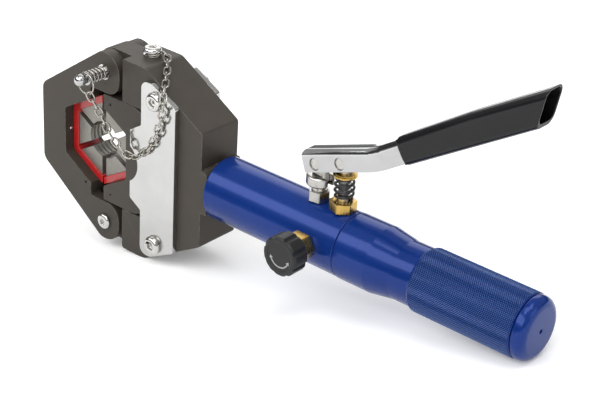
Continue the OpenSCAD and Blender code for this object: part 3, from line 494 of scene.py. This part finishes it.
def copy_of(node: str, name: str) -> bpy.types.Object:
    """Copies a CAD node's mesh as a new piece, with its doubles merged.

    Args:
        node: the CAD node.
        name: the new piece's name.

    Returns:
        The new piece at the origin.
    """
    source = frame["nodes"][node]
    piece = bpy.data.objects.new(name, source.data.copy())
    bpy.context.scene.collection.objects.link(piece)

    def merge() -> None:
        """Merges the doubles."""
        bpy.ops.mesh.select_all(action="SELECT")
        bpy.ops.mesh.remove_doubles(threshold=DOUBLES)

    in_edit(piece, merge, "VERT")
    bpy.ops.mesh.customdata_custom_splitnormals_clear()
    return piece


def volume_and_skin(mesh: bpy.types.Mesh) -> tuple[float, float]:
    """Measures a closed mesh.

    Args:
        mesh: the mesh.

    Returns:
        Its volume in cubic metres and its skin in square metres.
    """
    solid = bmesh.new()
    solid.from_mesh(mesh)
    bmesh.ops.triangulate(solid, faces=solid.faces[:])
    result = solid.calc_volume(signed=True), sum(face.calc_area() for face in solid.faces)
    solid.free()
    return result


def keeps_form(before: bpy.types.Mesh, after: bpy.types.Mesh) -> bool:
    """Says whether working the edges left a mesh's volume and skin about as they were.

    Args:
        before: the plain mesh.
        after: the worked mesh.

    Returns:
        Whether both measures drifted by no more than a worked edge can explain.
    """
    (volume_before, skin_before), (volume_after, skin_after) = map(volume_and_skin, (before, after))
    skin_change = skin_after / skin_before - 1.0
    return (abs(volume_after / volume_before - 1.0) < VOLUME_DRIFT
            and SKIN_DRIFT[0] < skin_change < SKIN_DRIFT[1])


@dataclass(frozen=True)
class Bend:
    """A second body for a soft piece, and the span from start, where it keeps its own place, to
    end, in mm; this script only holds them.
    """

    body: str
    start: Point
    end: Point


@dataclass
class Workshop:
    """Places finished pieces on their bodies and keeps their names."""

    shop: Paintshop
    bodies: dict[str, str]
    slots: dict[str, str]
    made: list[str] = field(default_factory=list)

    def fit(self, piece: bpy.types.Object, node: str, stands_for: bool = True,
            finish: Optional[Finish] = None, bend: Optional[Bend] = None) -> None:
        """Dresses a piece and lets it ride on a node's body, unless it has a bend, when its place
        is baked into its mesh instead.

        Args:
            piece: the finished piece.
            node: the CAD node that carries it.
            stands_for: whether the piece stands for the node.
            finish: its finish, if not the node's own.
            bend: a second body; a piece with one is left unattached, with its place baked in.
        """
        self.shop.paint(piece, finish or FINISHES[self.slots[node]])
        if bend:
            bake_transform(piece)
        else:
            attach(piece, self.bodies[node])
        if stands_for:
            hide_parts(node)
        self.made.append(piece.name)
        log.info("%s: %d faces on %s", piece.name, len(piece.data.polygons), self.bodies[node])

    def edge_worked(self, node: str, width: float, segments: int = 2, angle: float = 32.0,
                    finish: Optional[Finish] = None, crease: float = 34.0,
                    turn: float = 0.0) -> None:
        """Replaces a node by a copy with bevelled edges.

        Args:
            node: the CAD node.
            width: bevel width in mm.
            segments: rounds of the bevel.
            angle: least angle of an edge that is worked, in degrees.
            finish: its finish, if not the node's own.
            crease: least angle of an edge that stays crisp, in degrees.
            turn: how far an upright fitting is turned about its own axis, in degrees.
        """
        piece = copy_of(node, node + "_worked")
        low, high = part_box(node)

        def flatten() -> None:
            """Joins the flat triangles to whole faces."""
            bpy.ops.mesh.select_all(action="SELECT")
            bpy.ops.mesh.dissolve_limited(angle_limit=math.radians(FLAT_ANGLE))

        def swivel() -> None:
            """Turns the fitting about its own axis."""
            bpy.ops.mesh.select_all(action="SELECT")
            bpy.ops.transform.rotate(value=math.radians(turn), orient_axis="Z",
                                     center_override=(low + high) / 2)

        in_edit(piece, flatten)
        plain = piece.data.copy()
        for share in EDGE_SHARES:
            piece.data = plain.copy()
            apply_modifier(piece, "BEVEL", width=width * share * MM, segments=segments,
                           limit_method="ANGLE", angle_limit=math.radians(angle),
                           use_clamp_overlap=False, harden_normals=False)
            apply_modifier(piece, "TRIANGULATE")
            if keeps_form(plain, piece.data):
                break
            log.info("%s: edge of %.2f mm is too wide", node, width * share)
        for point in piece.data.vertices:
            point.co = [min(max(c, a), b) for c, a, b in zip(point.co, low, high)]
        if turn:
            in_edit(piece, swivel)
        smooth(piece, crease)
        apply_modifier(piece, "WEIGHTED_NORMAL", keep_sharp=True)
        self.fit(piece, node, finish=finish)

    def rounded_wire(self, node: str, grow: float, bend: Bend) -> None:
        """Replaces a wire form by a copy with a round section.

        Args:
            node: the CAD node.
            grow: how far the skin moves out first, in mm, to keep the wire's thickness.
            bend: a second body, handed to fit, which leaves the wire unattached.
        """
        piece = copy_of(node, node + "_wire")

        def fatten() -> None:
            """Moves the skin outwards."""
            bpy.ops.mesh.select_all(action="SELECT")
            bpy.ops.transform.shrink_fatten(value=grow * MM)

        in_edit(piece, fatten)
        apply_modifier(piece, "SUBSURF", levels=1, render_levels=1)
        smooth(piece, WIRE_ANGLE)
        self.fit(piece, node, bend=bend)


# Sub-assemblies

@dataclass
class Head:
    """Head frame, swing jaw, ram, plates and their screws."""

    work: Workshop
    body_edge: float = 0.55
    plate_edge: float = 0.35
    screw_edge: float = 0.3
    dome_edge: float = 1.6
    dome_rounds: int = 5
    dome_angle: float = 60.0

    def build(self) -> None:
        """Works the edges of the head's solids."""
        for node in ("head_frame", "swing_jaw", "ram_block"):
            self.work.edge_worked(node, self.body_edge)
        for node in ("side_plate_near", "side_plate_far"):
            self.work.edge_worked(node, self.plate_edge)
        for node in ("plate_screws", "chain_screw", "hinge_pin"):
            self.work.edge_worked(node, self.dome_edge, self.dome_rounds, self.dome_angle)
        for node in ("hinge_pin_screw", "chain_washer"):
            self.work.edge_worked(node, self.screw_edge)


@dataclass
class Dies:
    """Red die shells with their milled segments."""

    work: Workshop
    shell_edge: float = 0.6
    shell_rounds: int = 3
    segment_edge: float = 0.25

    def build(self) -> None:
        """Works the edges of the dies."""
        for end in ("front", "rear"):
            self.work.edge_worked(end + "_die_shell", self.shell_edge, self.shell_rounds)
            self.work.edge_worked(end + "_die_segments", self.segment_edge)


@dataclass
class LockAndChain:
    """Spring-loaded lock pin with its ring and its safety chain."""

    work: Workshop
    link_growth: float = 0.26
    spring_growth: float = 0.42
    pin_edge: float = 0.25
    washer_edge: float = 0.15
    upper_bend: Bend = Bend("jaw", (40.0, 0.0, 78.0), (40.0, -28.0, 12.0))
    lower_bend: Bend = Bend("lock", (39.9, -28.3, 10.1), (14.5, -37.5, 51.0))
    spring_bend: Bend = Bend("lock", (10.0, -19.3, 59.0), (10.0, -34.5, 59.0))

    def build(self) -> None:
        """Rounds the wires and works the edges of the pin and its washer."""
        self.work.rounded_wire("chain_upper", self.link_growth, self.upper_bend)
        self.work.rounded_wire("chain_lower", self.link_growth, self.lower_bend)
        self.work.rounded_wire("lock_spring", self.spring_growth, self.spring_bend)
        self.work.edge_worked("lock_pin", self.pin_edge)
        self.work.edge_worked("lock_washer", self.washer_edge)


@dataclass
class Pump:
    """Pump fittings on top of the barrel, the lever's link and the ram's return spring."""

    work: Workshop
    gland_edge: float = 0.7
    gland_turn: float = 30.0
    cap_edge: float = 0.3
    bush_edge: float = 0.45
    plunger_edge: float = 0.25
    foot_edge: float = 0.4
    link_edge: float = 0.3
    spring_growth: float = 0.38
    spring_bend: Bend = Bend("pump_plunger", (212.0, 0.0, 29.6), (212.0, 0.0, 46.9))
    return_bend: Bend = Bend("ram", (122.2, 0.0, 0.0), (137.8, 0.0, 0.0))

    def build(self) -> None:
        """Works the edges of the fittings and rounds the springs' wire."""
        self.work.edge_worked("gland_nut", self.gland_edge, turn=self.gland_turn)
        self.work.edge_worked("spring_cap", self.cap_edge)
        self.work.edge_worked("release_bush", self.bush_edge)
        self.work.edge_worked("plunger", self.plunger_edge)
        self.work.edge_worked("fulcrum_post", self.foot_edge, finish=NICKEL)
        self.work.edge_worked("fulcrum_nut", self.foot_edge, finish=NICKEL)
        self.work.edge_worked("fulcrum_link", self.link_edge, finish=NICKEL)
        self.work.rounded_wire("plunger_spring", self.spring_growth, self.spring_bend)
        self.work.rounded_wire("return_spring", 0.0, self.return_bend)


@dataclass
class Lever:
    """Chromed lever channel with its pins and its dipped grip."""

    work: Workshop
    arm_edge: float = 0.3
    grip_edge: float = 0.9
    grip_rounds: int = 3
    grip_angle: float = 25.0
    pin_edge: float = 0.4

    def build(self) -> None:
        """Works the lever's edges and its pins."""
        self.work.edge_worked("lever_arm", self.arm_edge)
        self.work.edge_worked("lever_grip", self.grip_edge, self.grip_rounds, self.grip_angle)
        for node in ("fulcrum_pin", "plunger_pin"):
            self.work.edge_worked(node, self.pin_edge)


@dataclass
class Handle:
    """Blue barrel, handle tube and cap, with the diamond knurl of the grip."""

    work: Workshop
    tube_edge: float = 0.5
    taper_crease: float = 8.5
    knurl_start: float = 282.3
    knurl_end: float = 356.7
    radius: float = 21.3
    around: int = 84
    along: int = 47
    proud: float = 0.5
    valley: float = 0.03
    rim: float = 0.985

    def build(self) -> None:
        """Works the tube's edges and wraps the knurl round it."""
        self.work.edge_worked("cylinder_barrel", self.tube_edge)
        self.work.edge_worked("handle_tube", self.tube_edge, crease=self.taper_crease)
        self.work.edge_worked("end_cap", self.tube_edge)
        self.knurl()

    def knurl(self) -> None:
        """Builds the knurl as a net of small pyramids and rolls it round the tube."""
        bpy.ops.object.select_all(action="DESELECT")
        bpy.ops.mesh.primitive_grid_add(x_subdivisions=self.along, y_subdivisions=self.around,
                                        size=1.0)
        piece = bpy.context.active_object
        piece.name = "grip_knurl"
        corners = len(piece.data.vertices)
        poked = 0.01

        def diamonds() -> None:
            """Pokes the squares, drops their own edges to leave diamonds, and pokes those up."""
            bpy.ops.mesh.select_all(action="SELECT")
            bpy.ops.mesh.poke()
            bpy.ops.mesh.select_all(action="DESELECT")
            net = bmesh.from_edit_mesh(piece.data)
            for edge in net.edges:
                square = all(corner.index < corners for corner in edge.verts)
                edge.select_set(square and len(edge.link_faces) == 2)
            bmesh.update_edit_mesh(piece.data)
            bpy.ops.mesh.dissolve_edges(use_verts=False)
            bpy.ops.mesh.select_all(action="SELECT")
            bpy.ops.mesh.poke(offset=poked)

        in_edit(piece, diamonds, "EDGE")
        for point in piece.data.vertices:
            x, y, z = point.co
            turn = 2.0 * math.pi * (y + 0.5)
            out = (self.radius + (self.proud if z > poked / 2 else self.valley)) * MM
            along = (self.knurl_start + (x + 0.5) * (self.knurl_end - self.knurl_start)) * MM
            point.co = (along, -out * math.sin(turn), out * math.cos(turn))

        def close() -> None:
            """Joins the net's seam and turns its rims inwards."""
            bpy.ops.mesh.select_all(action="SELECT")
            bpy.ops.mesh.remove_doubles(threshold=DOUBLES)
            bpy.ops.mesh.normals_make_consistent(inside=False)
            bpy.ops.mesh.select_all(action="DESELECT")
            bpy.ops.mesh.select_non_manifold()
            bpy.ops.mesh.extrude_edges_move()
            bpy.ops.transform.resize(value=(1.0, self.rim, self.rim),
                                     center_override=(0.0, 0.0, 0.0))

        in_edit(piece, close, "VERT")
        self.work.fit(piece, "handle_tube", stands_for=False, finish=KNURL_SHADE_AND_HIGHLIGHT_PAINT)


@dataclass
class ReleaseKnob:
    """Fluted black knob with a printed turning arrow."""

    work: Workshop
    knob_edge: float = 0.5
    knob_rounds: int = 3
    valve_x: float = 199.0
    face: float = -46.0
    recess: float = 0.6
    arc_start: float = 205.0
    arc_sweep: float = 130.0
    arc_steps: int = 26
    arc_radius: float = 7.4
    arc_width: float = 0.9
    arc_height: float = 0.12
    head_size: float = 1.5
    head_lead: float = 7.0

    def build(self) -> None:
        """Works the knob's edges and prints its arrow."""
        self.work.edge_worked("release_knob", self.knob_edge, self.knob_rounds)
        self.arrow()

    def arrow(self) -> None:
        """Builds the arc and its two arrowheads as one thin raised print."""
        bpy.ops.object.select_all(action="DESELECT")
        bpy.ops.mesh.primitive_plane_add(size=1.0)
        piece = bpy.context.active_object
        piece.name = "knob_arrow"
        middle = Vector((self.valve_x * MM, (self.face + self.recess) * MM, 0.0))

        def at(degrees: float, radius: float) -> Vector:
            """Point on the knob's face."""
            a = math.radians(degrees)
            return middle + Vector((math.cos(a), 0.0, math.sin(a))) * radius * MM

        half = self.arc_width / 2
        for point, side in zip(piece.data.vertices, (-half, half, -half, half)):
            point.co = at(self.arc_start, self.arc_radius + side)

        def draw() -> None:
            """Sweeps the arc and adds an arrowhead at each end."""
            bpy.ops.mesh.select_all(action="SELECT")
            bpy.ops.mesh.delete(type="ONLY_FACE")
            bpy.ops.mesh.select_all(action="SELECT")
            bpy.ops.mesh.remove_doubles(threshold=DOUBLES)
            bpy.ops.mesh.select_all(action="SELECT")
            bpy.ops.mesh.spin(steps=self.arc_steps, angle=math.radians(self.arc_sweep),
                              center=middle, axis=(0.0, 1.0, 0.0))
            for angle, way in ((self.arc_start, 1.0), (self.arc_start + self.arc_sweep, -1.0)):
                lean = math.radians(90.0 - angle + way * 90.0)
                bpy.ops.mesh.primitive_circle_add(
                    vertices=3, radius=self.head_size * MM, fill_type="NGON",
                    location=at(angle - way * self.head_lead, self.arc_radius),
                    rotation=(math.radians(90.0), lean, 0.0))

        in_edit(piece, draw, "EDGE")
        apply_modifier(piece, "SOLIDIFY", thickness=self.arc_height * MM, offset=0.0)
        self.work.fit(piece, "release_knob", stands_for=False, finish=PRINT_GREY)


# Studio

@dataclass(frozen=True)
class Softbox:
    """One rectangular lamp: its direction in degrees, distance and size in metres, and watts."""

    name: str
    azimuth: float
    elevation: float
    far: float
    size: tuple[float, float]
    power: float


SOFTBOXES = (
    Softbox("key_softbox", -12.0, 42.0, 1.6, (3.2, 0.8), 24.0),
    Softbox("top_softbox", 60.0, 80.0, 1.5, (1.2, 0.8), 9.0),
    Softbox("fill_softbox", 100.0, 25.0, 1.8, (0.8, 0.8), 2.5),
    Softbox("rim_softbox", -141.0, 28.0, 1.6, (1.6, 0.9), 7.0),
)
SKY_FOOT, SKY_TOP = 0.9, 1.0
SKY_BANDS = ((0.5, 0.45), (0.53, 0.10), (0.62, 0.12), (0.68, 0.95))


@dataclass
class Studio:
    """Camera of the photograph, soft light and the pale floor."""

    azimuth: float = 38.8
    elevation: float = 27.76
    roll: float = 3.61
    distance: float = 1.0547
    lens: float = 96.39
    sensor: float = 36.0
    sight: float = 50.0
    target: Vector = field(default_factory=lambda: Vector((0.17631, 0.0, 0.01525)))
    world_level: float = 0.53
    floor_low: tuple[float, float] = (0.038, -0.0752)
    floor_high: tuple[float, float] = (0.357, -0.0213)
    floor_size: float = 14.0
    paper: float = 0.90
    paper_rough: float = 0.9
    paper_specular: float = 0.1
    glow_reach: tuple[float, float] = (0.35, 1.6)
    glow: tuple[float, float] = (0.20, 1.0)

    def toward(self, azimuth: float, elevation: float) -> Vector:
        """Unit vector from the tool towards a direction, in degrees."""
        a, e = math.radians(azimuth), math.radians(elevation)
        return Vector((math.cos(e) * math.sin(a), -math.cos(e) * math.cos(a), math.sin(e)))

    def build(self) -> None:
        """Builds the camera, the world, the lamps and the floor."""
        self.camera()
        self.world()
        for box in SOFTBOXES:
            self.lamp(box)
        self.floor()

    def camera(self) -> None:
        """Places the camera at the photograph's view."""
        data = bpy.data.cameras.new("photo_camera")
        data.lens, data.sensor_width, data.clip_end = self.lens, self.sensor, self.sight
        camera = bpy.data.objects.new("photo_camera", data)
        bpy.context.scene.collection.objects.link(camera)
        back = self.toward(self.azimuth, self.elevation)
        right = Vector((0.0, 0.0, 1.0)).cross(back).normalized()
        up = back.cross(right)
        turn = math.radians(self.roll)
        across = right * math.cos(turn) + up * math.sin(turn)
        upright = up * math.cos(turn) - right * math.sin(turn)
        place = self.target + back * self.distance
        axes = Matrix((across, upright, back)).transposed().to_4x4()
        camera.matrix_world = Matrix.Translation(place) @ axes
        bpy.context.scene.camera = camera

    def lamp(self, box: Softbox) -> None:
        """Adds a soft rectangular lamp that faces the tool.

        Args:
            box: the lamp's place, size and power.
        """
        data = bpy.data.lights.new(box.name, "AREA")
        data.shape, data.energy = "RECTANGLE", box.power
        data.size, data.size_y = box.size
        lamp = bpy.data.objects.new(box.name, data)
        bpy.context.scene.collection.objects.link(lamp)
        back = self.toward(box.azimuth, box.elevation)
        lamp.location = self.target + back * box.far
        lamp.rotation_euler = back.to_track_quat("Z", "Y").to_euler()

    def world(self) -> None:
        """Builds a pale studio world that is darker in a low band, for metal to mirror."""
        world = bpy.data.worlds.new("studio")
        world.use_nodes = True
        w = Wiring(world.node_tree)
        sky = world.node_tree.nodes["Background"]
        way = w.add("ShaderNodeTexCoord").outputs["Generated"]
        height = w.add("ShaderNodeSeparateXYZ", {0: way}).outputs[2]
        ramp = w.add("ShaderNodeValToRGB", {0: w.span(height, -1.0, 1.0)})
        stops = ramp.color_ramp.elements
        stops[0].position, stops[0].color = 0.0, grey(SKY_FOOT)
        stops[1].position, stops[1].color = 1.0, grey(SKY_TOP)
        for place, value in SKY_BANDS:
            stops.new(place).color = grey(value)
        rays = w.add("ShaderNodeLightPath")
        white = w.blend(rays.outputs["Is Camera Ray"], ramp.outputs[0],
                        grey(1.0 / self.world_level))
        w.feed(sky.inputs["Color"], white)
        w.feed(sky.inputs["Strength"], self.world_level)
        bpy.context.scene.world = world

    def floor(self) -> None:
        """Lays the floor under the head's foot and the handle's end."""
        bpy.ops.object.select_all(action="DESELECT")
        (x0, z0), (x1, z1) = self.floor_low, self.floor_high
        slope = math.atan2(z1 - z0, x1 - x0)
        bpy.ops.mesh.primitive_plane_add(size=self.floor_size, location=(x0, 0.0, z0),
                                         rotation=(0.0, -slope, 0.0))
        floor = bpy.context.active_object
        floor.name = "studio_floor"
        settle(floor)
        material = bpy.data.materials.new("studio_paper")
        material.use_nodes = True
        w = Wiring(material.node_tree)
        rays = w.add("ShaderNodeLightPath").outputs
        mirrored = w.math("ADD", rays["Is Glossy Ray"], rays["Is Transmission Ray"])
        seen = w.math("ADD", rays["Is Camera Ray"], mirrored, clamp=True)
        far = w.vector("DISTANCE", w.place(), tuple(self.target)).outputs["Value"]
        lift = w.span(far, *self.glow_reach, *self.glow)
        skin = material.node_tree.nodes["Principled BSDF"]
        for key, value in (("Base Color", grey(self.paper)), ("Roughness", self.paper_rough),
                           ("Specular IOR Level", self.paper_specular),
                           ("Emission Color", grey(1.0)),
                           ("Emission Strength", w.math("MULTIPLY", seen, lift))):
            w.feed(skin.inputs[key], value)
        floor.data.materials.append(material)


def main() -> None:
    """Builds the tool's pieces in order."""
    logging.basicConfig(level=logging.INFO, format="%(message)s")
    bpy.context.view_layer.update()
    bpy.context.scene.view_settings.view_transform = "Standard"
    Studio().build()
    record = frame["record"]
    slots = {part["node"]: part["material_slot"] for part in record["subparts"]}
    bodies = {node: body for body, nodes in record["behaviour"]["bodies"].items()
              for node in nodes}
    shop = Paintshop()
    shop.paint_frame(slots)
    work = Workshop(shop, bodies, slots)
    for assembly in (Head(work), Dies(work), LockAndChain(work), Pump(work), Lever(work),
                     Handle(work), ReleaseKnob(work)):
        assembly.build()
        log.info("%s built", type(assembly).__name__)
    log.info("%d new pieces", len(work.made))


if __name__ == "__main__":
    main()
